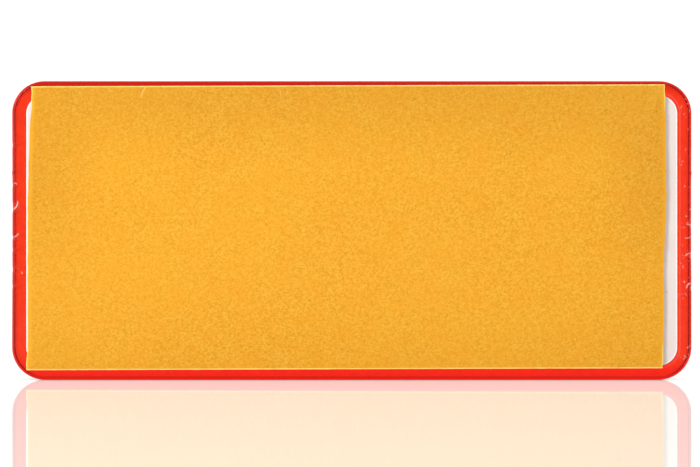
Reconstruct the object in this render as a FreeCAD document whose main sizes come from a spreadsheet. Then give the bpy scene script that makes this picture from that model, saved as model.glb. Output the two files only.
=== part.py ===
import FreeCAD, Part
import math
import os

import Sketcher

# A stick-on reflex reflector, standing on one of its long edges.
#
# A red acrylic lens carries corner-cube prisms on the inside of its front wall and ends in a rim. A white
# back plate is welded to a ledge inside that rim and shuts the air in behind the prisms. A piece of
# double-sided foam tape, cut off a roll by hand, is pressed on the back: adhesive, foam, adhesive and a
# yellow paper release liner, which peels off.
#
# Frame: millimetres, +Z up, the lens's front towards +Y, the tape towards -Y, so +X is to the right when
# the back is looked at. The origin is at the bottom, in the middle of the object's box.

SIZES = [
    ("lens_width", 96.0),
    ("lens_height", 42.2),
    ("lens_depth", 7.0),
    ("corner_radius", 4.6),
    ("front_edge_radius", 0.5),
    ("rim_edge_radius", 0.35),
    ("rim_width", 2.0),
    ("ledge_width", 0.9),
    ("front_wall", 1.7),
    # corner-cube prisms, which are hexagons seen from the front
    ("prism_flats", 2.4),
    ("prism_foot", 0.15),
    ("prism_root", 0.3),
    ("prism_margin", 0.2),
    # back plate, with the flattened bead that welds it to the ledge
    ("plate_thickness", 1.5),
    ("plate_clearance", 0.02),
    ("plate_edge_radius", 0.08),
    ("weld_height", 0.1),
    ("weld_width", 0.5),
    # tape: its middle lies to one side of the lens's middle, and it is turned by a part of a degree
    ("tape_width", 40.0),
    ("tape_length", 89.6),
    ("tape_sideways", 0.95),
    ("tape_upwards", 0.44),
    ("tape_turn", 0.18),
    ("adhesive_thickness", 0.05),
    ("foam_thickness", 1.0),
    ("liner_thickness", 0.1),
]
SHEET = "Sizes"

# The tape's two hand cuts. Each point is (share of the tape's width up from its bottom edge, how far the
# cut stands out past half the tape's length), from the bottom to the top.
LEFT_CUT = [(0.0, 0.26), (0.09, -0.04), (0.56, -0.05), (0.84, -0.4), (0.92, -0.64), (1.0, -0.67)]
RIGHT_CUT = [(0.0, -0.06), (0.18, 0.08), (0.4, 0.12), (0.62, 0.57), (0.76, 0.42), (1.0, 0.39)]

# A sketch starts from this rounded rectangle, or for the tape from a plain one as long and as wide as this,
# and its constraints then stretch it to the sheet's sizes. START_TURN is any turn, so that the axis is kept.
START_WIDTH = 90.0
START_HEIGHT = 38.0
START_RADIUS = 2.0
START_TURN = 1.0

# An edge lies in a plane when it is nearer than this, and a pocket has cut when it took this many mm3.
ON_PLANE = 1e-6
LEAST_CUT = 1.0


def make_sheet(doc):
    """The spreadsheet that drives the model: one named cell for each size."""
    sheet = doc.addObject("Spreadsheet::Sheet", SHEET)
    for row, (alias, value) in enumerate(SIZES, start=1):
        sheet.set(f"A{row}", alias)
        sheet.set(f"B{row}", str(value))
        sheet.setAlias(f"B{row}", alias)
    doc.recompute()
    return sheet


def bind(piece, target, formula):
    """Ties a property to a formula in which each size's name stands for its cell."""
    words = formula.split()
    names = {alias for alias, _ in SIZES}
    piece.setExpression(target, " ".join(f"{SHEET}.{word}" if word in names else word for word in words))


def place(piece, x, y, z):
    """Puts a piece where three formulas say."""
    for axis, formula in (("x", x), ("y", y), ("z", z)):
        bind(piece, f".Placement.Base.{axis}", formula)


def new_body(doc, label):
    body = doc.addObject("PartDesign::Body", label)
    body.Label = label
    return body


def new_sketch(body, name):
    """A sketch on the body's own XZ plane, whose normal is -Y, out of the reflector's back."""
    sketch = body.newObject("Sketcher::SketchObject", name)
    plane = next(feature for feature in body.Origin.OriginFeatures if feature.Role == "XZ_Plane")
    sketch.AttachmentSupport = [(plane, "")]
    sketch.MapMode = "FlatFace"
    return sketch


def drive(sketch, constraint, name, formula):
    """Adds a constraint whose value is a formula over the sheet."""
    index = sketch.addConstraint(constraint)
    sketch.renameConstraint(index, name)
    bind(sketch, f"Constraints.{name}", formula)


def draw_rounded_rectangle(sketch, name, width, height, radius):
    """Draws a rectangle with round corners, centred on the origin, whose sizes are formulas."""
    half_width, half_height = START_WIDTH / 2, START_HEIGHT / 2
    inner_x, inner_y = half_width - START_RADIUS, half_height - START_RADIUS
    ends = [
        ((-inner_x, -half_height), (inner_x, -half_height)),
        ((half_width, -inner_y), (half_width, inner_y)),
        ((inner_x, half_height), (-inner_x, half_height)),
        ((-half_width, inner_y), (-half_width, -inner_y)),
    ]
    centres = [(inner_x, -inner_y), (inner_x, inner_y), (-inner_x, inner_y), (-inner_x, -inner_y)]
    sides, arcs = [], []
    for turn, ((start, end), centre) in enumerate(zip(ends, centres)):
        line = Part.LineSegment(FreeCAD.Vector(*start, 0), FreeCAD.Vector(*end, 0))
        circle = Part.Circle(FreeCAD.Vector(*centre, 0), FreeCAD.Vector(0, 0, 1), START_RADIUS)
        begin = math.radians(90 * turn - 90)
        sides.append(sketch.addGeometry(line))
        arcs.append(sketch.addGeometry(Part.ArcOfCircle(circle, begin, begin + math.pi / 2)))
    for i in range(4):
        sketch.addConstraint(Sketcher.Constraint("Tangent", sides[i], 2, arcs[i], 1))
        sketch.addConstraint(Sketcher.Constraint("Tangent", arcs[i], 2, sides[(i + 1) % 4], 1))
        sketch.addConstraint(Sketcher.Constraint("Vertical" if i % 2 else "Horizontal", sides[i]))
    for arc in arcs[1:]:
        sketch.addConstraint(Sketcher.Constraint("Equal", arcs[0], arc))
    sketch.addConstraint(Sketcher.Constraint("Symmetric", sides[0], 1, sides[2], 1, -1, 1))
    across = Sketcher.Constraint("DistanceX", sides[3], 1, sides[1], 1, START_WIDTH)
    up = Sketcher.Constraint("DistanceY", sides[0], 1, sides[2], 1, START_HEIGHT)
    drive(sketch, across, f"{name}_width", width)
    drive(sketch, up, f"{name}_height", height)
    drive(sketch, Sketcher.Constraint("Radius", arcs[0], START_RADIUS), f"{name}_radius", radius)


def sketch_inset(body, name, *insets):
    """A sketch of the lens's outline moved in by each of the formulas."""
    sketch = new_sketch(body, name)
    for number, inset in enumerate(insets):
        draw_rounded_rectangle(
            sketch,
            f"loop{number}",
            f"lens_width - 2 * ( {inset} )",
            f"lens_height - 2 * ( {inset} )",
            f"corner_radius - ( {inset} )",
        )
    return sketch


def pad(body, sketch, name, length):
    """Pads a sketch into +Y, towards the reflector's front."""
    feature = body.newObject("PartDesign::Pad", name)
    feature.Profile = sketch
    feature.Reversed = True
    bind(feature, "Length", length)
    body.Document.recompute()


def pocket(body, sketch, name, depth):
    """Cuts a sketch out of the body, from its back towards +Y."""
    before = body.Shape.Volume
    feature = body.newObject("PartDesign::Pocket", name)
    feature.Profile = sketch
    bind(feature, "Length", depth)
    body.Document.recompute()
    if body.Shape.Volume > before - LEAST_CUT:
        raise RuntimeError(f"{name} cuts nothing")


def round_edges(body, name, radius, at_front):
    """Rounds all the edges in the plane of the body's front, or else of its back."""
    base = body.Tip
    box = base.Shape.BoundBox
    level = box.YMax if at_front else box.YMin
    picked = []
    for number, edge in enumerate(base.Shape.Edges, start=1):
        if abs(edge.BoundBox.YMin - level) < ON_PLANE and abs(edge.BoundBox.YMax - level) < ON_PLANE:
            picked.append(f"Edge{number}")
    feature = body.newObject("PartDesign::Fillet", name)
    feature.Base = (base, picked)
    bind(feature, "Radius", radius)
    body.Document.recompute()


# The y of the rim's back face, where the lens, the plate and the tape meet, and the z of the lens's middle.
RIM_Y = "adhesive_thickness + 0.5 * foam_thickness + 0.5 * liner_thickness - 0.5 * lens_depth"
MIDDLE_Z = "0.5 * lens_height"


def make_moulding(doc):
    """The lens without its prisms: front wall, rim, and the ledge that the back plate is welded to."""
    body = new_body(doc, "lens_moulding")
    pad(body, sketch_inset(body, "Outline", "0"), "Block", "lens_depth")
    round_edges(body, "FrontEdge", "front_edge_radius", at_front=True)
    round_edges(body, "RimEdge", "rim_edge_radius", at_front=False)
    pocket(body, sketch_inset(body, "SeatOutline", "rim_width"), "Seat", "plate_thickness + weld_height")
    hollow = sketch_inset(body, "HollowOutline", "rim_width + ledge_width")
    pocket(body, hollow, "Hollow", "lens_depth - front_wall")
    place(body, "0", RIM_Y, MIDDLE_Z)
    return body


def honeycomb(flats, half_width, half_height):
    """The centres of the hexagons that fit whole in a field, row by row."""
    row_step = flats * math.sqrt(3) / 2
    reach = flats / math.sqrt(3)
    rows = int((2 * half_height - 2 * reach) / row_step) + 1
    centres = []
    for row in range(rows):
        shift = flats / 2 if row % 2 else 0.0
        each_side = int((half_width - flats / 2 - shift) / flats)
        for column in range(-each_side - row % 2, each_side + 1):
            centres.append((column * flats + shift, (row - (rows - 1) / 2) * row_step))
    return centres


def make_prisms(doc, sheet):
    """The corner cubes. Each hexagon is three square faces at right angles that meet in a point, towards
    the back, and all of them stand on one slab that is sunk in the front wall."""
    flats = float(sheet.get("prism_flats"))
    foot = float(sheet.get("prism_foot"))
    root = float(sheet.get("prism_root"))
    wall = float(sheet.get("rim_width")) + float(sheet.get("ledge_width")) + float(sheet.get("prism_margin"))
    half_width = float(sheet.get("lens_width")) / 2 - wall
    half_height = float(sheet.get("lens_height")) / 2 - wall
    reach = flats / math.sqrt(3)
    rise = flats / math.sqrt(6)
    spots = {}
    sides = {}
    faces = []

    def spot(x, z, height):
        key = (round(x, 4), round(z, 4))
        spots.setdefault(key, FreeCAD.Vector(x, -height, z))
        return key

    def add_face(points):
        faces.append(Part.Face(Part.makePolygon([*points, points[0]])))

    for x, z in honeycomb(flats, half_width, half_height):
        tip = FreeCAD.Vector(x, -foot - 2 * rise, z)
        ring = []
        for corner in range(6):
            turn = math.radians(30 + 60 * corner)
            height = foot + rise * (corner % 2)
            ring.append(spot(x + reach * math.cos(turn), z + reach * math.sin(turn), height))
        for corner in (1, 3, 5):
            add_face([tip, *(spots[ring[(corner + step) % 6]] for step in range(3))])
        for corner in range(6):
            pair = (ring[corner], ring[(corner + 1) % 6])
            sides.setdefault(frozenset(pair), []).append(pair)
    floor = []
    for found in sides.values():
        if len(found) == 1:
            start, end = (spots[key] for key in found[0])
            low_start = FreeCAD.Vector(start.x, root, start.z)
            low_end = FreeCAD.Vector(end.x, root, end.z)
            add_face([start, end, low_end, low_start])
            floor.append(Part.makeLine(low_start, low_end))
    faces.append(Part.Face(Part.Wire(Part.__sortEdges__(floor))))
    shell = Part.makeCompound(faces)
    shell.sewShape()
    solid = Part.Solid(Part.Shell(shell.Faces))
    if solid.Volume < 0:
        solid.reverse()
    prisms = doc.addObject("Part::Feature", "lens_prisms")
    prisms.Label = "lens_prisms"
    prisms.Shape = solid
    place(prisms, "0", f"{RIM_Y} + lens_depth - front_wall", MIDDLE_Z)
    return prisms


def make_lens(doc, sheet):
    """The lens: the moulding and its prisms as one solid."""
    lens = doc.addObject("Part::Fuse", "lens")
    lens.Label = "lens"
    lens.Base = make_moulding(doc)
    lens.Tool = make_prisms(doc, sheet)
    lens.Refine = False
    return lens


def make_back_plate(doc):
    """The white plate, flush with the rim's back face, on the weld bead that holds it to the ledge."""
    body = new_body(doc, "back_plate")
    pad(body, sketch_inset(body, "PlateOutline", "rim_width + plate_clearance"), "Plate", "plate_thickness")
    round_edges(body, "PlateEdge", "plate_edge_radius", at_front=False)
    middle = "rim_width + 0.5 * ledge_width"
    bead = sketch_inset(body, "BeadOutline", f"{middle} - 0.5 * weld_width", f"{middle} + 0.5 * weld_width")
    pad(body, bead, "WeldBead", "plate_thickness + weld_height")
    place(body, "0", RIM_Y, MIDDLE_Z)
    return body


def draw_tape_outline(sketch):
    """Draws the cut piece of tape: two straight edges as it comes off the roll, and two hand cuts."""
    corners = [(1, share, out) for share, out in RIGHT_CUT]
    corners += [(-1, share, out) for share, out in reversed(LEFT_CUT)]
    half_length = START_WIDTH / 2
    points = [FreeCAD.Vector(side * half_length, START_HEIGHT * (share - 0.5), 0) for side, share, _ in corners]
    count = len(points)
    lines = [sketch.addGeometry(Part.LineSegment(points[i], points[(i + 1) % count])) for i in range(count)]
    for i, line in enumerate(lines):
        sketch.addConstraint(Sketcher.Constraint("Coincident", line, 2, lines[(i + 1) % count], 1))
    for i, (side, share, out) in enumerate(corners):
        across = ("DistanceX", -1, 1, lines[i], 1) if side > 0 else ("DistanceX", lines[i], 1, -1, 1)
        up = ("DistanceY", -1, 1, lines[i], 1) if share > 0.5 else ("DistanceY", lines[i], 1, -1, 1)
        from_middle = abs(share - 0.5)
        sideways = Sketcher.Constraint(*across, half_length)
        upwards = Sketcher.Constraint(*up, START_HEIGHT * from_middle)
        drive(sketch, sideways, f"across{i}", f"0.5 * tape_length + {out:.3f}")
        drive(sketch, upwards, f"up{i}", f"{from_middle:.3f} * tape_width")


def make_tape_layer(doc, label, thickness, under):
    """One layer of the tape. It lies on what is already there, as thick as the formula under says."""
    body = new_body(doc, label)
    sketch = new_sketch(body, f"{label}_outline")
    draw_tape_outline(sketch)
    pad(body, sketch, f"{label}_sheet", thickness)
    body.Placement = FreeCAD.Placement(FreeCAD.Vector(), FreeCAD.Rotation(FreeCAD.Vector(0, -1, 0), START_TURN))
    bind(body, ".Placement.Rotation.Angle", "tape_turn")
    place(body, "-1 * tape_sideways", f"{RIM_Y} - {thickness} - {under}", f"{MIDDLE_Z} + tape_upwards")
    return body


def check_document(doc):
    """Stops if anything in the document failed to build."""
    for piece in doc.Objects:
        if "Invalid" in piece.State or "Error" in piece.State:
            raise RuntimeError(f"{piece.Label} is in the state {piece.State}")


def export_piece(piece):
    """Writes one sub-part, after a check of its shape."""
    shape = piece.Shape
    if shape.isNull() or not shape.isValid() or len(shape.Solids) != 1:
        raise RuntimeError(f"{piece.Label} is not one valid solid")
    shape.exportStep(f"parts/{piece.Label}.step")
    box = shape.BoundBox
    print(
        f"{piece.Label}: {shape.Volume:.1f} mm3, x {box.XMin:.2f} to {box.XMax:.2f},"
        f" y {box.YMin:.2f} to {box.YMax:.2f}, z {box.ZMin:.2f} to {box.ZMax:.2f}"
    )


def main():
    doc = FreeCAD.newDocument("stick_on_reflector")
    sheet = make_sheet(doc)
    pieces = [
        make_lens(doc, sheet),
        make_back_plate(doc),
        make_tape_layer(doc, "adhesive_inner", "adhesive_thickness", "0"),
        make_tape_layer(doc, "foam_core", "foam_thickness", "adhesive_thickness"),
        make_tape_layer(doc, "adhesive_outer", "adhesive_thickness", "adhesive_thickness - foam_thickness"),
        make_tape_layer(doc, "release_liner", "liner_thickness", "2 * adhesive_thickness - foam_thickness"),
    ]
    doc.recompute()
    check_document(doc)
    os.makedirs("parts", exist_ok=True)
    for piece in pieces:
        export_piece(piece)


main()
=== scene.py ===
import math

import bmesh
import bpy
import numpy as np
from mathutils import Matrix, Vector, geometry, noise


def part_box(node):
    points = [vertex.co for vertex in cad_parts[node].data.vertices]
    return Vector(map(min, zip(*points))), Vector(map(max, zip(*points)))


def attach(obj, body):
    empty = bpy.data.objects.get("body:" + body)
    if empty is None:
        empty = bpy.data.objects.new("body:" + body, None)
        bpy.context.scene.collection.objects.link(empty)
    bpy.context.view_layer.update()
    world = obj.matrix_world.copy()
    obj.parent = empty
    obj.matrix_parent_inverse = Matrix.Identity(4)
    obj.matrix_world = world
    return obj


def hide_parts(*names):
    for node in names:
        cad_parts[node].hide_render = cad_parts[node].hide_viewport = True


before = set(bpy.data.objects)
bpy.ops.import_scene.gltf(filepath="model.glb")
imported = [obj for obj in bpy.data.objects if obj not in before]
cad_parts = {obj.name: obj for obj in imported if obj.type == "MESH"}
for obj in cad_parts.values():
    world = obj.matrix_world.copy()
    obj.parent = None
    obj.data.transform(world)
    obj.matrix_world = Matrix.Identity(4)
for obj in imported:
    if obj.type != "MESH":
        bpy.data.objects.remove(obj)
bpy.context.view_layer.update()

# The looks of a stick-on reflector that stands on one long edge, with its taped back to the camera.
# Meshes are worked out in millimetres and scaled once, when they are made. x runs to the right, z up, and
# the back looks towards -y.

MM = 0.001

# The driving sizes of the moulding and the plate, in millimetres.
CORNER_RADIUS = 4.6
FRONT_EDGE = 0.5
RIM_EDGE = 0.35
RIM_WIDTH = 2.0
LEDGE_WIDTH = 0.9
FRONT_WALL = 1.7
PRISM_FLATS = 2.4
PRISM_GAP = 0.07
PRISM_FOOT = 0.15
PRISM_MARGIN = 0.2
PLATE_THICKNESS = 1.5
PLATE_CLEARANCE = 0.02
PLATE_EDGE = 0.08
WELD_HEIGHT = 0.1
WELD_WIDTH = 0.5

# The thicknesses of an adhesive film of the tape, and of its paper liner.
FILM = 0.05
LINER_PAPER = 0.1

# Pieces that lie on each other are kept this far apart, so that no two surfaces fall together.
HAIR = 0.003


def in_mm(corner):
    return [value / MM for value in corner]


LENS_LOW, LENS_HIGH = (in_mm(corner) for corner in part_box("lens"))
HALF_WIDTH = (LENS_HIGH[0] - LENS_LOW[0]) / 2
HALF_HEIGHT = (LENS_HIGH[2] - LENS_LOW[2]) / 2
MIDDLE_Z = (LENS_HIGH[2] + LENS_LOW[2]) / 2
RIM_Y = LENS_LOW[1]
FRONT_Y = LENS_HIGH[1]
LINER_Y = in_mm(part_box("release_liner")[0])[1]
TAPE_DEPTH = RIM_Y - LINER_Y


# ---------------------------------------------------------------- mesh helpers


# An edge stays sharp where its faces meet at more than this many degrees. The tape's cut sides are rougher.
SHARP_ANGLE = 35.0
TAPE_SHARP_ANGLE = 50.0


def make_object(name, vertices, faces, sharp_angle=SHARP_ANGLE):
    """A mesh object from points in millimetres, smooth except at its sharp edges."""
    mesh = bpy.data.meshes.new(name)
    mesh.from_pydata([tuple(value * MM for value in point) for point in vertices], [], faces)
    edit = bmesh.new()
    edit.from_mesh(mesh)
    bmesh.ops.recalc_face_normals(edit, faces=edit.faces)
    edit.to_mesh(mesh)
    edit.free()
    mesh.polygons.foreach_set("use_smooth", [True] * len(mesh.polygons))
    mesh.set_sharp_from_angle(angle=math.radians(sharp_angle))
    mesh.update()
    piece = bpy.data.objects.new(name, mesh)
    bpy.context.scene.collection.objects.link(piece)
    return piece


def smooth_step(value):
    value = min(max(value, 0.0), 1.0)
    return value * value * (3 - 2 * value)


def fade(distance, near, far):
    """1 up to the near distance, 0 from the far one on, and smooth between them."""
    return smooth_step((far - distance) / (far - near))


def steps(start, end, count):
    """Evenly spaced values after start, up to and including end."""
    return [start + (end - start) * i / count for i in range(1, count + 1)]


def add_mark(piece, label, values):
    """A number for each vertex, for the material to read. Vertices past the end of the list get zero."""
    layer = piece.data.attributes.new(label, "FLOAT", "POINT")
    layer.data.foreach_set("value", values + [0.0] * (len(piece.data.vertices) - len(values)))


def distance_to_line(point, start, end):
    span = end - start
    share = min(max((point - start).dot(span) / span.length_squared, 0.0), 1.0)
    return (point - start - span * share).length


# Points on the outline. The short sides have many, because their edges are nicked and chipped.
CORNER_STEPS = 20
LONG_STEPS = 60
SHORT_STEPS = 400
LEAST_RADIUS = 0.05


def rounded_outline(inset):
    """The lens's outline moved in by a distance: points (x, z) about its middle, anticlockwise from behind.
    Every inset has the same number of points, so that outlines join up."""
    radius = max(CORNER_RADIUS - inset, LEAST_RADIUS)
    inner_x = HALF_WIDTH - inset - radius
    inner_z = HALF_HEIGHT - inset - radius
    points = []
    for turn, (side_x, side_z) in enumerate([(1, -1), (1, 1), (-1, 1), (-1, -1)]):
        for i in range(CORNER_STEPS + 1):
            angle = math.radians(90 * (turn - 1 + i / CORNER_STEPS))
            x = side_x * inner_x + radius * math.cos(angle)
            z = side_z * inner_z + radius * math.sin(angle)
            points.append((x, z))
        last = points[-1]
        along_z = turn % 2 == 0
        for share in steps(0, 1, SHORT_STEPS if along_z else LONG_STEPS)[:-1]:
            if along_z:
                points.append((last[0], last[1] * (1 - 2 * share)))
            else:
                points.append((last[0] * (1 - 2 * share), last[1]))
    return points


def sweep(stations, change=None):
    """Outlines at (inset, y) stations, joined in order. change may move each point. Returns the vertices, the
    faces and the number of points in one outline."""
    vertices, faces = [], []
    ring = len(rounded_outline(0))
    for number, (inset, y) in enumerate(stations):
        for x, z in rounded_outline(inset):
            point = (x, y, z + MIDDLE_Z)
            vertices.append(change(point, inset) if change else point)
        if number:
            base = ring * (number - 1)
            for i in range(ring):
                j = (i + 1) % ring
                faces.append((base + i, base + j, base + ring + j, base + ring + i))
    return vertices, faces, ring


def arc(centre, radius, start, end, count):
    """Stations along a quarter round in the (inset, y) plane, with angles in degrees."""
    found = []
    for i in range(count + 1):
        angle = math.radians(start + (end - start) * i / count)
        found.append((centre[0] + radius * math.cos(angle), centre[1] + radius * math.sin(angle)))
    return found


# The innermost outline on a flat face, which one face closes.
FACE_INSET = 4.0


# ---------------------------------------------------------------- lens

# Where the rim's outer edge has been knocked in, or stands out as a burr, whose depth is negative. The first
# two are the slight waist of the sides. Side, height above the floor, half length, depth.
NICKS = [
    (-1, 22.0, 15.0, 0.06),
    (1, 23.0, 10.0, 0.05),
    (-1, 33.2, 0.45, 0.10),
    (-1, 29.2, 0.25, -0.08),
    (-1, 27.5, 0.35, 0.08),
    (-1, 24.4, 0.9, 0.14),
    (-1, 20.1, 0.4, 0.09),
    (-1, 18.4, 0.3, 0.07),
    (-1, 15.6, 0.5, 0.11),
    (-1, 13.2, 0.3, 0.08),
    (1, 29.2, 0.35, -0.08),
    (1, 21.8, 0.4, 0.08),
    (1, 17.6, 0.6, 0.11),
    (1, 12.9, 0.35, 0.09),
]
# How deep into the side a nick reaches, over what length it fades out there, and how far in over the rim's
# face it reaches. It moves the face's points back by a share of its depth.
NICK_DEPTH = 1.3
NICK_FADE = 0.7
NICK_INSET = 0.9
NICK_SLOPE = 0.5
# Along a nick the depth varies about this share of it, by up to this much, and this many times as fast in y
# and z as in x.
NICK_MEAN = 0.7
NICK_VARIATION = 0.6
NICK_RATES = (5, 9)

# Crescents that something hard has left in the rim's outer edge: points (x, z) and a half width.
CHIPS = [
    ([(-47.95, 27.8), (-47.6, 27.8), (-47.3, 27.62)], 0.05),
    ([(-47.9, 24.0), (-47.5, 24.3), (-47.25, 24.75), (-47.2, 25.1)], 0.09),
    ([(-47.9, 20.1), (-47.5, 20.25), (-47.1, 20.6)], 0.06),
    ([(-46.6, 15.2), (-46.55, 15.0)], 0.05),
    ([(47.3, 22.0), (47.6, 21.95), (47.85, 21.8)], 0.05),
    ([(47.1, 20.05), (47.5, 20.0), (47.9, 20.2)], 0.045),
    ([(47.1, 17.5), (47.35, 17.75), (47.85, 17.9)], 0.055),
    ([(47.3, 13.0), (47.4, 13.35), (47.65, 13.6), (47.95, 13.55)], 0.075),
    ([(46.95, 13.8), (46.97, 13.85)], 0.09),
    ([(47.75, 24.0), (47.9, 24.15)], 0.06),
    ([(47.25, 23.1), (47.3, 23.1)], 0.06),
]
CHIP_DEPTH = 0.03
# A chip marks no point that is higher or lower than its start by more than this.
CHIP_REACH = 2


def chip_at(x, z):
    """How strongly a chip marks a point of the rim."""
    mark = 0.0
    for points, half_width in CHIPS:
        if x * points[0][0] > 0 and abs(z - points[0][1]) < CHIP_REACH:
            line = [Vector(point) for point in points]
            near = min(distance_to_line(Vector((x, z)), a, b) for a, b in zip(line, line[1:]))
            mark = max(mark, fade(near, 0.5 * half_width, 1.5 * half_width))
    return mark


# The outer sides of the moulding are scuffed, and so are its edges, to this far in. The same band
# is tinted a darker, duller red, partly as dirt and partly as painted shade.
SCUFF_AND_SHADE_REACH = 0.62
SCUFF_AND_SHADE_FADE = 0.3

# A point counts as one of the outer side, and not of the rounded edge, up to this inset.
SIDE_INSET = RIM_EDGE / 20


def knock(point, inset):
    """Moves a point of the rear outer edge as each nick says."""
    x, y, z = point
    if y > RIM_Y + NICK_DEPTH or inset > NICK_INSET:
        return point
    for side, height, half_length, depth in NICKS:
        away = (z - height) / half_length
        if side * x > 0 and abs(away) < 1:
            place = Vector((x, y * NICK_RATES[0], z * NICK_RATES[1]))
            rough = NICK_MEAN + NICK_VARIATION * noise.noise(place)
            share = min(1.0, (RIM_Y + NICK_DEPTH - y) / NICK_FADE)
            dent = depth * rough * (1 - away * away) * share
            x -= side * dent
            y += NICK_SLOPE * dent if inset > SIDE_INSET else 0.0
    return (x, y, z)


def honeycomb(half_width, half_height):
    """The centres of the prisms that fit whole in a field, row by row, as the moulding has them."""
    row_step = PRISM_FLATS * math.sqrt(3) / 2
    reach = PRISM_FLATS / math.sqrt(3)
    rows = int((2 * half_height - 2 * reach) / row_step) + 1
    centres = []
    for row in range(rows):
        shift = PRISM_FLATS / 2 if row % 2 else 0.0
        each_side = int((half_width - PRISM_FLATS / 2 - shift) / PRISM_FLATS)
        for column in range(-each_side - row % 2, each_side + 1):
            centres.append((column * PRISM_FLATS + shift, (row - (rows - 1) / 2) * row_step))
    return centres


def in_hexagon(dx, dz):
    half = (PRISM_FLATS - PRISM_GAP) / 2
    tilted = [abs(dx * 0.5 + side * dz * math.sqrt(0.75)) for side in (1, -1)]
    return abs(dx) < half and max(tilted) < half


# For the wall round the prisms: triangles inside the given edges only, and points this near are the same.
INSIDE_EDGES = 1
SAME_POINT = 1e-7


def add_prisms(vertices, faces, floor_y):
    """Adds the corner cubes, which stand on the wall at floor_y and point to the back, and the wall between
    and round them, out to the last ring of vertices. A narrow valley runs round each cube."""
    ring = len(rounded_outline(0))
    outer = list(range(len(vertices) - ring, len(vertices)))
    wall = RIM_WIDTH + LEDGE_WIDTH + PRISM_MARGIN
    cells = honeycomb(HALF_WIDTH - wall, HALF_HEIGHT - wall)
    flats = PRISM_FLATS - PRISM_GAP
    reach = flats / math.sqrt(3)
    rise = flats / math.sqrt(6)
    border = []

    def add_points(spots):
        """Vertices at (x, z, height over the wall). Returns their indices."""
        first = len(vertices)
        vertices.extend((x, floor_y - height, z + MIDDLE_Z) for x, z, height in spots)
        return list(range(first, len(vertices)))

    for x, z in cells:
        flat = []
        for i in range(6):
            angle = math.radians(30 + 60 * i)
            flat.append((x + reach * math.cos(angle), z + reach * math.sin(angle)))
        (tip,) = add_points([(x, z, PRISM_FOOT + 2 * rise)])
        upper = add_points([(*corner, PRISM_FOOT + rise * (i % 2)) for i, corner in enumerate(flat)])
        lower = add_points([(*corner, 0.0) for corner in flat])
        for i in (1, 3, 5):
            faces.append((tip, upper[i], upper[(i + 1) % 6], upper[(i + 2) % 6]))
        for i in range(6):
            j = (i + 1) % 6
            faces.append((upper[i], upper[j], lower[j], lower[i]))
            border.append((lower[i], lower[j]))
    chosen = outer + sorted({index for pair in border for index in pair})
    place = {index: number for number, index in enumerate(chosen)}
    flat = [Vector((vertices[index][0], vertices[index][2] - MIDDLE_Z)) for index in chosen]
    edges = [(i, (i + 1) % ring) for i in range(ring)]
    edges += [(place[start], place[end]) for start, end in border]
    _, _, triangles, origins, _, _ = geometry.delaunay_2d_cdt(flat, edges, [], INSIDE_EDGES, SAME_POINT)
    centres = np.array(cells)
    for triangle in triangles:
        middle = sum((flat[origins[corner][0]] for corner in triangle), Vector((0, 0))) / 3
        gaps = centres - np.array(middle)
        dx, dz = gaps[np.argmin((gaps**2).sum(1))]
        if not in_hexagon(dx, dz):
            faces.append(tuple(chosen[origins[corner][0]] for corner in triangle))


# The line that the mould's insert left round the rim, near its inner edge. It is a fine groove, and towards
# +X it is painted slightly white, which is a painted highlight.
WITNESS_LINE = 1.66
WITNESS_HALF = 0.06
WITNESS_DEPTH = 0.015
WITNESS_HIGHLIGHT = 0.09

# The radius of the crisp inner edge of the rim.
LIP = 0.02

# How many steps the lens's rounded edges, its outer side and the face of its rim are drawn with.
ROUND_STEPS = 10
SIDE_STEPS = 14
RIM_STEPS = 21


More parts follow.
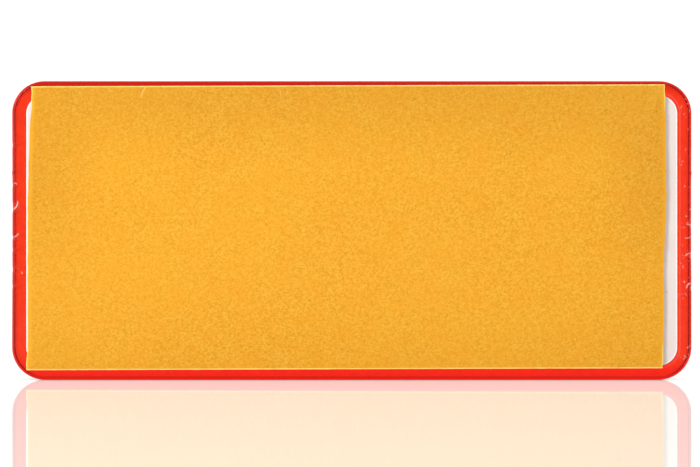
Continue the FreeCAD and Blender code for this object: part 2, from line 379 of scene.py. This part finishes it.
def make_lens():
    """The red moulding: rounded front, rim with a worn edge, seat and ledge for the plate, and prisms."""
    ledge_y = RIM_Y + PLATE_THICKNESS + WELD_HEIGHT
    floor_y = FRONT_Y - FRONT_WALL
    inner = RIM_WIDTH + LEDGE_WIDTH
    witness = [(WITNESS_LINE + side * WITNESS_HALF, RIM_Y) for side in (-1, 0, 1)]
    witness[1] = (WITNESS_LINE, RIM_Y + WITNESS_DEPTH)
    stations = [(FACE_INSET, FRONT_Y), (FACE_INSET / 2, FRONT_Y)]
    stations += arc((FRONT_EDGE, FRONT_Y - FRONT_EDGE), FRONT_EDGE, 90, 180, ROUND_STEPS)
    stations += [(0.0, y) for y in steps(FRONT_Y - FRONT_EDGE, RIM_Y + RIM_EDGE, SIDE_STEPS)]
    stations += arc((RIM_EDGE, RIM_Y + RIM_EDGE), RIM_EDGE, 180, 270, ROUND_STEPS)[1:]
    stations += [(inset, RIM_Y) for inset in steps(RIM_EDGE, witness[0][0], RIM_STEPS)[:-1]]
    stations += [*witness, (witness[2][0] + WITNESS_HALF, RIM_Y)]
    stations += arc((RIM_WIDTH - LIP, RIM_Y + LIP), LIP, 270, 360, 4)
    stations += [(RIM_WIDTH, y) for y in steps(RIM_Y + LIP, ledge_y, 3)]
    stations += [(inset, ledge_y) for inset in steps(RIM_WIDTH, inner, 2)]
    stations += [(inner, y) for y in steps(ledge_y, floor_y, 3)]
    vertices, faces, ring = sweep(stations, knock)
    scuffs_and_shade, chips_and_highlight = [], []
    for number, (inset, y) in enumerate(stations):
        # The outer band's mark, for its scuffing and for its painted shade.
        scuffs_and_shade += [fade(inset, SCUFF_AND_SHADE_REACH - SCUFF_AND_SHADE_FADE, SCUFF_AND_SHADE_REACH)] * ring
        # Towards +X the witness groove is painted white: a painted highlight.
        white = WITNESS_HIGHLIGHT if (inset, y) in witness else 0.0
        for index in range(number * ring, (number + 1) * ring):
            x, y, z = vertices[index]
            chip = chip_at(x, z) if y < RIM_Y + RIM_EDGE else 0.0
            chips_and_highlight.append(max(chip, white * smooth_step(x / HALF_WIDTH)))
            vertices[index] = (x, y + CHIP_DEPTH * chip, z)
    faces.append(tuple(range(ring)))
    add_prisms(vertices, faces, floor_y)
    piece = make_object("reflector_lens", vertices, faces)
    add_mark(piece, "scuff_and_shade_mark", scuffs_and_shade)
    add_mark(piece, "chip_and_highlight_mark", chips_and_highlight)
    return piece


# Along the plate's edge, the mould's shut-off left a brighter, smoother line of this width.
PLATE_BORDER = 0.24
BORDER_FADE = 0.1


def make_back_plate():
    """The white plate, with a soft edge, and the flattened weld bead on its hidden side."""
    edge = RIM_WIDTH + PLATE_CLEARANCE
    back_y = RIM_Y + HAIR
    inside_y = RIM_Y + PLATE_THICKNESS
    bead = RIM_WIDTH + (LEDGE_WIDTH - WELD_WIDTH) / 2
    bead_y = inside_y + WELD_HEIGHT - HAIR
    stations = [(FACE_INSET, back_y), (edge + 2 * PLATE_BORDER, back_y)]
    stations += [(edge + PLATE_BORDER - share * BORDER_FADE, back_y) for share in (0.0, 0.5, 1.0)]
    stations += arc((edge + PLATE_EDGE, back_y + PLATE_EDGE), PLATE_EDGE, 270, 180, 8)
    stations += [(edge, inside_y), (bead, inside_y), (bead, bead_y)]
    stations += [(bead + WELD_WIDTH, bead_y), (bead + WELD_WIDTH, inside_y), (FACE_INSET, inside_y)]
    vertices, faces, ring = sweep(stations)
    faces.append(tuple(range(ring)))
    faces.append(tuple(range(len(vertices) - ring, len(vertices))))
    piece = make_object("reflector_back_plate", vertices, faces)
    marks = []
    for inset, _ in stations:
        marks += [fade(inset, edge + PLATE_BORDER - BORDER_FADE, edge + PLATE_BORDER)] * ring
    add_mark(piece, "border_mark", marks)
    return piece


# ---------------------------------------------------------------- tape


# A hand cut's corners are rounded off over this distance to either side.
CUT_BLUR = 1.2
# The shake of a hand in the cuts: how fast each part changes, its own layer of the noise, and its size.
HAND_SHAKE = [(0.7, 0.0, 0.06), (1.2, 3.0, 0.08)]


class Tape:
    """Where the cut piece of tape lies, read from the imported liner: u runs along it and v across it, from its
    middle, and each hand cut is a smooth curve through the outline's corners."""

    def __init__(self):
        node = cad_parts["release_liner"]
        corners = {(round(v.co.x / MM, 4), round(v.co.z / MM, 4)) for v in node.data.vertices}
        bottom_left = min(corners, key=lambda p: p[0] + p[1])
        bottom_right = max(corners, key=lambda p: p[0] - p[1])
        top_left = min(corners, key=lambda p: p[0] - p[1])
        self.turn = math.atan2(bottom_right[1] - bottom_left[1], bottom_right[0] - bottom_left[0])
        self.middle = ((bottom_right[0] + top_left[0]) / 2, (bottom_right[1] + top_left[1]) / 2)
        local = sorted((self.to_local(*corner) for corner in corners), key=lambda p: p[1])
        self.half_width = local[-1][1]
        self.left = np.array([(v, u) for u, v in local if u < 0])
        self.right = np.array([(v, u) for u, v in local if u > 0])
        self.length = float(np.mean(self.right[:, 1]) - np.mean(self.left[:, 1]))

    def to_local(self, x, z):
        dx, dz = x - self.middle[0], z - self.middle[1]
        cos, sin = math.cos(self.turn), math.sin(self.turn)
        return (dx * cos + dz * sin, dz * cos - dx * sin)

    def to_frame(self, u, v, depth):
        """The place of a point of the tape whose depth is counted from the rim's face outwards."""
        cos, sin = math.cos(self.turn), math.sin(self.turn)
        return (self.middle[0] + u * cos - v * sin, RIM_Y - depth, self.middle[1] + u * sin + v * cos)

    def end(self, cut, v):
        """u of a hand cut at v, rounded off over a stretch, with the shake of a hand in it."""
        near = [v + shift * CUT_BLUR for shift in (-1.0, -0.5, 0.0, 0.5, 1.0)]
        blur = [float(np.interp(place, cut[:, 0], cut[:, 1])) for place in near]
        shake = 0.0
        for rate, layer, size in HAND_SHAKE:
            shake += size * noise.noise(Vector((v * rate, cut[0, 1], layer)))
        return sum(blur) / len(blur) + shake


TAPE = Tape()


# How far the cuts press the tape down, and how far in from the cut. At the hand cuts a power draws the fall
# towards the cut.
END_DIP = 0.16
END_REACH = 0.75
END_CURVE = 1.5
SLIT_DIP = 0.05
SLIT_REACH = 0.22

# The tape's own unevenness: a wide wave and a small ripple, with their sizes and how fast they change.
WAVE = 0.02
WAVE_RATES = (0.09, 0.13)
RIPPLE = 0.006
RIPPLE_RATE = 0.6

# The marks on the paper, each full up to its first distance from the cut and gone at its second: the
# painted highlight on the pressed strip along the hand cuts, the painted highlight along the slit edges, and
# the torn corners, across and along a cut.
END_STRIP = (0.19, 0.74)
SLIT_LINE = (0.05, 0.21)
TEAR_ACROSS = (0.05, 0.18)
TEAR_ALONG = (1.5, 4.5)

# The paper's borders are darker to this far in, a painted shade, and its lower half less so, by this share.
SHADE_REACH = 13.0
LOWER_SHADE = 0.3

# The mesh is finer in a band along every cut, with this many rows, which crowd towards the cut.
EDGE_BAND = 1.1
EDGE_ROWS = 9
EDGE_CROWDING = 1.4

# How fast the roughness of a cut side changes along it and through its depth.
RAGGED_RATE = 4.2
RAGGED_DEPTH_RATE = 5.0


def surface_drop(u, v, from_end, from_slit):
    """How far the tape's outer face lies under its full height: pressed down by the cuts, and uneven."""
    drop = END_DIP * fade(from_end, 0.0, END_REACH) ** END_CURVE
    drop += SLIT_DIP * fade(from_slit, 0.0, SLIT_REACH)
    drop += WAVE * (1 + noise.noise(Vector((u * WAVE_RATES[0], v * WAVE_RATES[1], 2.0))))
    drop += RIPPLE * noise.noise(Vector((u * RIPPLE_RATE, v * RIPPLE_RATE, 7.0)))
    return drop


def border_shade(v, from_end, from_slit):
    """How much the paper is darkened, from 0 to 1."""
    strength = 1 - (1 - LOWER_SHADE) * fade(v, -TAPE.half_width / 2, TAPE.half_width / 2)
    clear = [1 - strength * fade(distance, 0.0, SHADE_REACH) for distance in (from_end, from_slit)]
    return 1 - clear[0] * clear[1]


def spread(length, coarse):
    """Positions from 0 to length, close together in the band at either end."""
    near = [EDGE_BAND * (i / EDGE_ROWS) ** EDGE_CROWDING for i in range(EDGE_ROWS + 1)]
    middle = steps(EDGE_BAND, length - EDGE_BAND, int((length - 2 * EDGE_BAND) / coarse))[:-1]
    return near + middle + [length - value for value in reversed(near)]


def make_tape_layer(name, inner, outer, coarse, side_rows=2, shrink=0.0, ragged=0.0):
    """One layer of the tape, from one depth to another. Every layer follows the tape's uneven outer face by
    its share of the depth. coarse is the mesh's step away from the cuts, shrink keeps the layer in from them,
    and ragged roughens its sides. Returns the piece, with its marks as attributes."""
    across = spread(2 * (TAPE.half_width - shrink), coarse)
    along = [distance / TAPE.length for distance in spread(TAPE.length, coarse)]
    columns, rows = len(along), len(across)
    vertices, marks = [], {"end_highlight_mark": [], "slit_highlight_and_tear_mark": [], "border_shade": []}
    u_of, v_of, drop_of = (np.zeros((rows, columns)) for _ in range(3))
    for row, distance in enumerate(across):
        v = distance - TAPE.half_width + shrink
        left, right = TAPE.end(TAPE.left, v) + shrink, TAPE.end(TAPE.right, v) - shrink
        for column, share in enumerate(along):
            u = left + share * (right - left)
            from_end = min(u - left, right - u)
            from_slit = min(distance, 2 * (TAPE.half_width - shrink) - distance)
            u_of[row, column], v_of[row, column] = u, v
            drop_of[row, column] = surface_drop(u, v, from_end, from_slit)
            torn = fade(from_end, *TEAR_ACROSS) * fade(from_slit, *TEAR_ALONG)
            marks["end_highlight_mark"].append(fade(from_end, *END_STRIP))
            marks["slit_highlight_and_tear_mark"].append(max(torn, fade(from_slit, *SLIT_LINE)))
            marks["border_shade"].append(border_shade(v, from_end, from_slit))

    def add(row, column, depth, push=0.0):
        """A vertex at a nominal depth, which the tape's uneven face shifts. push moves it out sideways."""
        u, v = u_of[row, column], v_of[row, column]
        if push:
            u += push * (1 if column == columns - 1 else -1 if column == 0 else 0)
            v += push * (1 if row == rows - 1 else -1 if row == 0 else 0)
        vertices.append(TAPE.to_frame(u, v, depth - drop_of[row, column] * depth / TAPE_DEPTH))
        return len(vertices) - 1

    top = [[add(row, column, outer) for column in range(columns)] for row in range(rows)]
    faces = []
    for row in range(rows - 1):
        for column in range(columns - 1):
            a, b = top[row][column], top[row][column + 1]
            faces.append((a, b, top[row + 1][column + 1], top[row + 1][column]))
    border = [(0, column) for column in range(columns)]
    border += [(row, columns - 1) for row in range(1, rows)]
    border += [(rows - 1, column) for column in reversed(range(columns - 1))]
    border += [(row, 0) for row in reversed(range(1, rows - 1))]
    above = [top[row][column] for row, column in border]
    for step in range(1, side_rows + 1):
        depth = outer + (inner - outer) * step / side_rows
        below = []
        for row, column in border:
            u, v = u_of[row, column], v_of[row, column]
            place = Vector((u * RAGGED_RATE, v * RAGGED_RATE, depth * RAGGED_DEPTH_RATE))
            push = ragged * noise.noise(place) if step < side_rows else 0.0
            below.append(add(row, column, depth, push))
        for i in range(len(border)):
            j = (i + 1) % len(border)
            faces.append((above[i], above[j], below[j], below[i]))
        above = below
    base = {place: index for place, index in zip(border, above)}
    for row in range(1, rows - 1):
        for column in range(1, columns - 1):
            base[row, column] = add(row, column, inner)
    for row in range(rows - 1):
        for column in range(columns - 1):
            faces.append(
                (base[row, column], base[row + 1, column], base[row + 1, column + 1], base[row, column + 1])
            )
    piece = make_object(name, vertices, faces, TAPE_SHARP_ANGLE)
    for label, values in marks.items():
        add_mark(piece, label, values)
    return piece


# ---------------------------------------------------------------- materials


class Nodes:
    """A short way to write a material's nodes."""

    def __init__(self, name):
        self.material = bpy.data.materials.new(name)
        self.material.use_nodes = True
        self.tree = self.material.node_tree
        self.shader = self.tree.nodes["Principled BSDF"]
        self.output = self.tree.nodes["Material Output"]
        self.place = self.tree.nodes.new("ShaderNodeTexCoord").outputs["Object"]

    def set(self, **values):
        for label, value in values.items():
            self.shader.inputs[label.replace("_", " ")].default_value = value

    def feed(self, label, socket):
        self.tree.links.new(socket, self.shader.inputs[label])

    def node(self, kind, inputs=None, **settings):
        made = self.tree.nodes.new(kind)
        for label, value in settings.items():
            setattr(made, label, value)
        for label, value in (inputs or {}).items():
            if isinstance(value, bpy.types.NodeSocket):
                self.tree.links.new(value, made.inputs[label])
            else:
                made.inputs[label].default_value = value
        return made

    def noise(self, size_mm, detail=3.0, stretch=(1, 1, 1), roughness=0.5):
        """Noise from 0 to 1 with blobs of about that size."""
        scaled = self.node("ShaderNodeMapping", {"Vector": self.place, "Scale": stretch})
        inputs = {"Vector": scaled.outputs[0], "Scale": 1 / (size_mm * MM)}
        inputs.update({"Detail": detail, "Roughness": roughness})
        return self.node("ShaderNodeTexNoise", inputs).outputs["Fac"]

    def cells(self, size_mm):
        """The distance to the nearest of scattered points, which are about that far apart."""
        inputs = {"Vector": self.place, "Scale": 1 / (size_mm * MM)}
        return self.node("ShaderNodeTexVoronoi", inputs).outputs["Distance"]

    def remap(self, socket, low, high, to_low=0.0, to_high=1.0):
        inputs = {"Value": socket, 1: low, 2: high, 3: to_low, 4: to_high}
        return self.node("ShaderNodeMapRange", inputs).outputs[0]

    def mix(self, share, first, second, blend="MIX"):
        inputs = {0: share}
        for index, colour in ((6, first), (7, second)):
            inputs[index] = (*colour, 1.0) if isinstance(colour, tuple) else colour
        return self.node("ShaderNodeMix", inputs, data_type="RGBA", blend_type=blend).outputs[2]

    def maths(self, operation, first, second):
        return self.node("ShaderNodeMath", {0: first, 1: second}, operation=operation).outputs[0]

    def vector(self, operation, first, second=(0.0, 0.0, 0.0), output="Vector"):
        made = self.node("ShaderNodeVectorMath", {0: first, 1: second}, operation=operation)
        return made.outputs[output]

    def near_line(self, points, half_width_mm):
        """From 0 to 1, how near the surface is to a line through points (x, z), seen along y."""
        flat = self.vector("MULTIPLY", self.place, (1.0, 0.0, 1.0))
        near = 0.0
        for ends in zip(points, points[1:]):
            start, end = (Vector((x, 0.0, z)) * MM for x, z in ends)
            span = end - start
            away = self.vector("SUBTRACT", flat, tuple(start))
            along = self.vector("DOT_PRODUCT", away, tuple(span / span.length_squared), "Value")
            share = self.remap(along, 0.0, 1.0)
            foot = self.node("ShaderNodeVectorMath", {0: tuple(span), "Scale": share}, operation="SCALE")
            gap = self.vector("DISTANCE", away, foot.outputs["Vector"], "Value")
            near = self.maths("MAXIMUM", near, self.remap(gap, 0.0, half_width_mm * MM, 1.0, 0.0))
        return near

    def attribute(self, label):
        return self.node("ShaderNodeAttribute", attribute_name=label).outputs["Fac"]

    def bump(self, height, distance_mm, strength):
        inputs = {"Height": height, "Distance": distance_mm * MM, "Strength": strength}
        self.feed("Normal", self.node("ShaderNodeBump", inputs).outputs[0])


def srgb(red, green, blue):
    """A colour from its sRGB bytes, as the linear values that the shader takes."""
    linear = []
    for byte in (red, green, blue):
        share = byte / 255
        linear.append(share / 12.92 if share <= 0.04045 else ((share + 0.055) / 1.055) ** 2.4)
    return tuple(linear)


# What the red acrylic lets through, and how strongly it colours light, per metre.
ACRYLIC_COLOUR = (0.9973, 0.414, 0.046, 1.0)
ACRYLIC_DENSITY = 780.0


def acrylic_material():
    """Clear red acrylic: the colour is in its depth. The surface is polished, with faint hairlines, but dull
    where it is scuffed, and that band is tinted darker, partly as dirt and partly as painted shade. It is
    whitened where it is chipped and in fine specks along the +X edge, and along the witness groove towards
    +X, where the whitening is a painted highlight. Its foot and top are painted a deeper red: painted shade."""
    nodes = Nodes("red_acrylic")
    nodes.set(IOR=1.491)
    wear = nodes.remap(nodes.noise(1.6, 6.0, roughness=0.7), 0.5, 0.8, 0.012, 0.1)
    scuff_and_shade = nodes.attribute("scuff_and_shade_mark")
    apart = nodes.node("ShaderNodeSeparateXYZ", {0: nodes.place})
    across, up = apart.outputs["X"], apart.outputs["Z"]
    patches = nodes.remap(nodes.noise(2.2), 0.5, 0.6)
    speck = nodes.maths("MULTIPLY", nodes.remap(nodes.cells(0.5), 0.3, 0.2), patches)
    speck = nodes.maths("MULTIPLY", speck, nodes.remap(across, 45.8 * MM, 47.4 * MM, 0.0, 0.55))
    white = nodes.maths("MAXIMUM", nodes.attribute("chip_and_highlight_mark"), speck)
    dull = nodes.maths("MAXIMUM", nodes.maths("MULTIPLY", scuff_and_shade, 0.06), nodes.maths("MULTIPLY", white, 0.2))
    nodes.feed("Roughness", nodes.maths("ADD", wear, dull))
    tint = nodes.mix(nodes.remap(nodes.noise(0.9, 4.0), 0.4, 0.65), (1.0, 1.0, 1.0), (0.9, 0.84, 0.9))
    # The scuffed band is tinted darker, partly as dirt and partly as painted shade.
    tint = nodes.mix(scuff_and_shade, tint, (0.64, 0.38, 0.5))
    # Painted shade: the foot and the top are tinted a deeper red.
    tint = nodes.mix(nodes.remap(up, 1.2 * MM, 3.2 * MM, 1.0, 0.0), tint, (1.0, 0.35, 0.28), "MULTIPLY")
    tint = nodes.mix(nodes.remap(up, 40.2 * MM, 41.6 * MM), tint, (0.8, 0.55, 0.5), "MULTIPLY")
    nodes.feed("Base Color", nodes.mix(white, tint, (1.0, 0.62, 0.5)))
    nodes.feed("Transmission Weight", nodes.remap(white, 0.0, 1.0, 1.0, 0.35))
    inputs = {"Color": ACRYLIC_COLOUR, "Density": ACRYLIC_DENSITY}
    absorb = nodes.node("ShaderNodeVolumeAbsorption", inputs)
    nodes.tree.links.new(absorb.outputs[0], nodes.output.inputs["Volume"])
    return nodes.material


def plate_material():
    """White ABS with a fine spark-eroded grain, hardly any colour of its own, and a few dark specks. Its
    slight pink is painted bounce light from the red lens.
    """
    nodes = Nodes("white_abs")
    # The pink in these tones is painted bounce light from the red lens.
    tone = nodes.mix(nodes.noise(5.0, 2.0), srgb(234, 221, 217), srgb(243, 232, 228))
    speck = nodes.remap(nodes.cells(1.9), 0.045, 0.03)
    rare = nodes.remap(nodes.noise(3.0, 1.0), 0.56, 0.6)
    tone = nodes.mix(nodes.attribute("border_mark"), tone, srgb(255, 255, 253))
    nodes.feed("Base Color", nodes.mix(nodes.maths("MULTIPLY", speck, rare), tone, srgb(150, 120, 105)))
    nodes.feed("Roughness", nodes.remap(nodes.noise(0.25), 0.3, 0.7, 0.36, 0.5))
    nodes.bump(nodes.noise(0.12, 2.0), 0.004, 0.8)
    return nodes.material


def adhesive_material():
    """Milky acrylic adhesive over white foam: wet-looking, with a slight orange peel."""
    nodes = Nodes("clear_adhesive")
    nodes.set(Coat_Weight=0.6, Coat_Roughness=0.08)
    nodes.feed("Base Color", nodes.mix(nodes.noise(2.5, 3.0), srgb(238, 233, 219), srgb(247, 244, 235)))
    nodes.feed("Roughness", nodes.remap(nodes.noise(0.8, 4.0), 0.3, 0.7, 0.12, 0.4))
    nodes.bump(nodes.noise(0.7, 3.0), 0.02, 0.6)
    return nodes.material


def foam_material():
    """Closed-cell foam: round cells that were sliced open by the knife."""
    nodes = Nodes("white_foam")
    nodes.set(Roughness=0.9)
    cells = nodes.cells(0.17)
    # The hollows of the opened cells are painted darker: painted shade.
    cell_hollow_shade = nodes.remap(cells, 0.15, 0.6)
    nodes.feed("Base Color", nodes.mix(cell_hollow_shade, srgb(206, 190, 178), srgb(243, 232, 222)))
    nodes.bump(cells, 0.05, 0.9)
    return nodes.material


# Fine creases that run down from the paper's upper edge: points (x, z), half width, strength.
CREASES = [
    ([(-29.1, 41.25), (-29.45, 40.65), (-29.7, 39.9)], 0.14, 0.65),
    ([(-10.2, 41.25), (-10.05, 40.5), (-9.95, 39.7)], 0.13, 0.35),
    ([(-34.35, 41.25), (-33.9, 40.6)], 0.13, 0.35),
]


def liner_material():
    """Yellow release paper: a fibre mottle, darker towards its borders by painted shade, with painted
    highlights on its slit edges and end strips, pale creases, and a few dark specks."""
    nodes = Nodes("yellow_liner_paper")
    nodes.set(Roughness=0.62, Specular_IOR_Level=0.15)
    fibre = nodes.noise(0.33, 4.0, (1.0, 1.0, 1.25), 0.75)
    cloud = nodes.noise(3.4, 3.0, roughness=0.5)
    wide = nodes.noise(16.0, 1.0)
    tone = nodes.mix(nodes.remap(fibre, 0.3, 0.7), srgb(217, 141, 2), srgb(252, 191, 69))
    tone = nodes.mix(nodes.remap(cloud, 0.35, 0.65, 0.0, 0.35), tone, srgb(243, 160, 36))
    tone = nodes.mix(nodes.remap(wide, 0.35, 0.65, 0.0, 0.2), tone, srgb(244, 178, 50))
    tone = nodes.mix(nodes.attribute("border_shade"), tone, (0.88, 0.87, 0.9), "MULTIPLY")
    # Painted highlights brighten the end strips and the slit edges; the torn corners share the slit edges'
    # mask.
    tone = nodes.mix(nodes.maths("MULTIPLY", nodes.attribute("end_highlight_mark"), 0.6), tone, srgb(252, 178, 40))
    uneven = nodes.remap(nodes.noise(1.3, 2.0), 0.35, 0.6, 0.65, 1.0)
    slit = nodes.maths("MULTIPLY", nodes.attribute("slit_highlight_and_tear_mark"), uneven)
    tone = nodes.mix(slit, tone, srgb(255, 240, 124))
    relief = nodes.maths("ADD", fibre, nodes.noise(0.12, 2.0))
    for points, half_width, strength in CREASES:
        crease = nodes.maths("MULTIPLY", nodes.near_line(points, half_width), strength)
        tone = nodes.mix(crease, tone, srgb(255, 214, 120))
        relief = nodes.maths("ADD", relief, crease)
    speck = nodes.maths("MULTIPLY", nodes.remap(nodes.cells(2.6), 0.06, 0.03), 0.45)
    nodes.feed("Base Color", nodes.mix(speck, tone, srgb(135, 80, 25)))
    nodes.bump(relief, 0.012, 0.6)
    return nodes.material


# ---------------------------------------------------------------- stage


# The floor's half size and how far it lies under the reflector's foot, in metres, and how far the foot shades
# it, in millimetres.
FLOOR_SIZE = 1.5
FLOOR_GAP = 0.00002
FLOOR_SHADE_REACH = 9


def floor_shade(nodes):
    """From 0 to 1, how much the reflector's foot shades the floor, which falls off with the distance."""
    foot = (HALF_WIDTH - CORNER_RADIUS, (FRONT_Y - RIM_Y) / 2 - RIM_EDGE, 0.0)
    from_middle = nodes.vector("SUBTRACT", nodes.place, (0.0, (FRONT_Y + RIM_Y) / 2 * MM, 0.0))
    sides = nodes.vector("ABSOLUTE", from_middle)
    outside = nodes.vector("SUBTRACT", sides, tuple(value * MM for value in foot))
    distance = nodes.vector("LENGTH", nodes.vector("MAXIMUM", outside), output="Value")
    return nodes.maths("POWER", nodes.remap(distance, 0.0, FLOOR_SHADE_REACH * MM, 1.0, 0.0), 3.0)


def make_floor():
    """A sheet of glossy white acrylic, lit from below, which mirrors more the flatter it is looked along."""
    mesh = bpy.data.meshes.new("floor")
    corners = [(x * FLOOR_SIZE, y * FLOOR_SIZE, 0) for x, y in ((-1, -1), (1, -1), (1, 1), (-1, 1))]
    mesh.from_pydata(corners, [], [(0, 1, 2, 3)])
    floor = bpy.data.objects.new("floor", mesh)
    floor.location.z = -FLOOR_GAP
    bpy.context.scene.collection.objects.link(floor)
    nodes = Nodes("floor_acrylic")
    tree = nodes.tree
    nodes.set(Base_Color=(0.25, 0.25, 0.25, 1.0), Roughness=1.0, Specular_IOR_Level=0.0)
    nodes.set(Emission_Color=(1.0, 1.0, 0.94, 1.0))
    # The glow is dimmed round the reflector's foot: a painted shadow.
    glow = nodes.remap(floor_shade(nodes), 0.0, 1.0, 0.9, 0.2)
    path = nodes.node("ShaderNodeLightPath")
    mirrored = nodes.maths("SUBTRACT", path.outputs["Is Glossy Ray"], path.outputs["Is Transmission Ray"])
    nodes.feed("Emission Strength", nodes.maths("MULTIPLY", glow, nodes.remap(mirrored, 0.0, 1.0, 1.0, 0.2)))
    gloss = nodes.node("ShaderNodeBsdfGlossy", {"Color": (1, 1, 1, 1), "Roughness": 0.03})
    mirror = nodes.node("ShaderNodeFresnel", {"IOR": 1.49})
    blend = nodes.node("ShaderNodeMixShader")
    share = nodes.maths("MINIMUM", nodes.maths("MULTIPLY", mirror.outputs[0], 0.9), 0.45)
    tree.links.new(share, blend.inputs[0])
    tree.links.new(nodes.shader.outputs[0], blend.inputs[1])
    tree.links.new(gloss.outputs[0], blend.inputs[2])
    tree.links.new(blend.outputs[0], nodes.output.inputs["Surface"])
    mesh.materials.append(nodes.material)


def add_light(name, place, size, watts):
    """A softbox aimed at the reflector, and flagged so that polished surfaces don't mirror it."""
    data = bpy.data.lights.new(name, "AREA")
    data.shape = "RECTANGLE"
    data.size, data.size_y = size
    data.energy = watts
    light = bpy.data.objects.new(name, data)
    light.location = place
    aim = Vector((0.0, 0.0, MIDDLE_Z * MM)) - Vector(place)
    light.rotation_euler = aim.to_track_quat("-Z", "Y").to_euler()
    light.visible_glossy = False
    bpy.context.scene.collection.objects.link(light)


# The levels of the surroundings, the share of +Y in a direction from which they turn from the side's level to
# the back's, and the angles from -Y at which the dark cone behind the camera starts and ends.
BACK_LEVEL = 1.12
SIDE_LEVEL = 0.34
CAMERA_SIDE_LEVEL = 0.25
SIDE_TO_BACK = (-0.15, 0.35)
DARK_CONE = (16, 34)


def light_world(world):
    """Bright behind the reflector, dimmer to the sides, and dark in a cone behind the camera. What the camera
    sees past the object stays white from every side."""
    world.use_nodes = True
    tree = world.node_tree
    place = tree.nodes.new("ShaderNodeTexCoord")
    apart = tree.nodes.new("ShaderNodeSeparateXYZ")
    tree.links.new(place.outputs["Generated"], apart.inputs[0])

    def graded(start, end, low, high):
        """A level that goes from low to high as a ray's direction turns towards +Y."""
        ramp = tree.nodes.new("ShaderNodeMapRange")
        tree.links.new(apart.outputs["Y"], ramp.inputs["Value"])
        for index, value in enumerate((start, end, low, high), start=1):
            ramp.inputs[index].default_value = value
        return ramp.outputs[0]

    def combine(operation, first, second):
        made = tree.nodes.new("ShaderNodeMath")
        made.operation = operation
        tree.links.new(first, made.inputs[0])
        tree.links.new(second, made.inputs[1])
        return made.outputs[0]

    lit_share = CAMERA_SIDE_LEVEL / SIDE_LEVEL
    cone_edges = [-math.cos(math.radians(angle)) for angle in DARK_CONE]
    cone = graded(*cone_edges, lit_share, 1.0)
    level = combine("MULTIPLY", graded(*SIDE_TO_BACK, SIDE_LEVEL, BACK_LEVEL), cone)
    seen = tree.nodes.new("ShaderNodeLightPath").outputs["Is Camera Ray"]
    tree.links.new(combine("MAXIMUM", level, seen), tree.nodes["Background"].inputs["Color"])


# The camera, in metres, with its focal length and sensor in millimetres. It stands about 15 times the
# reflector's height away, level with its middle.
CAMERA_PLACE = (-0.00025, -0.6229, 0.02066)
FOCAL_LENGTH = 225.78
SENSOR_WIDTH = 36.0


# Each softbox's name, place and size in metres, and power in watts.
LIGHTS = [
    ("key", (-0.205, -0.44, 0.125), (0.16, 0.16), 1.15),
    ("fill", (0.02, -0.3, 0.2), (0.2, 0.1), 0.1),
]

# Light passes through many prism faces before it comes out of the lens again.
LIGHT_BOUNCES = 24


def make_stage():
    """White surroundings, a soft key from the left, and a level camera square to the back."""
    scene = bpy.context.scene
    scene.view_settings.view_transform = "Standard"
    world = bpy.data.worlds.new("white_studio")
    scene.world = world
    light_world(world)
    scene.cycles.max_bounces = LIGHT_BOUNCES
    scene.cycles.transmission_bounces = LIGHT_BOUNCES
    scene.cycles.glossy_bounces = LIGHT_BOUNCES
    make_floor()
    for light in LIGHTS:
        add_light(*light)
    camera = bpy.data.objects.new("camera", bpy.data.cameras.new("camera"))
    camera.data.sensor_width = SENSOR_WIDTH
    camera.data.lens = FOCAL_LENGTH
    camera.location = CAMERA_PLACE
    camera.rotation_euler = (math.pi / 2, 0.0, 0.0)
    scene.collection.objects.link(camera)
    scene.camera = camera


# ---------------------------------------------------------------- assembly


def dress(piece, node, material, body="reflector"):
    """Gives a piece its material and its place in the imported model."""
    piece.data.materials.append(material)
    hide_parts(node)
    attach(piece, body)


def make_tape():
    """The four layers of the tape, at their depths behind the rim."""
    foam_out = TAPE_DEPTH - LINER_PAPER - FILM
    sticky = adhesive_material()
    inner = make_tape_layer("tape_adhesive_inner", HAIR, FILM, coarse=1.2, shrink=0.03)
    dress(inner, "adhesive_inner", sticky)
    foam_depths = (FILM + HAIR, foam_out - HAIR)
    foam = make_tape_layer("tape_foam_core", *foam_depths, coarse=0.5, side_rows=9, ragged=0.06)
    dress(foam, "foam_core", foam_material())
    outer_depths = (foam_out, foam_out + FILM - HAIR)
    outer = make_tape_layer("tape_adhesive_outer", *outer_depths, coarse=0.8, shrink=0.02)
    dress(outer, "adhesive_outer", sticky)
    liner = make_tape_layer("release_liner_paper", foam_out + FILM, TAPE_DEPTH, coarse=0.5)
    dress(liner, "release_liner", liner_material(), "liner")


def main():
    make_stage()
    dress(make_lens(), "lens", acrylic_material())
    dress(make_back_plate(), "back_plate", plate_material())
    make_tape()


main()
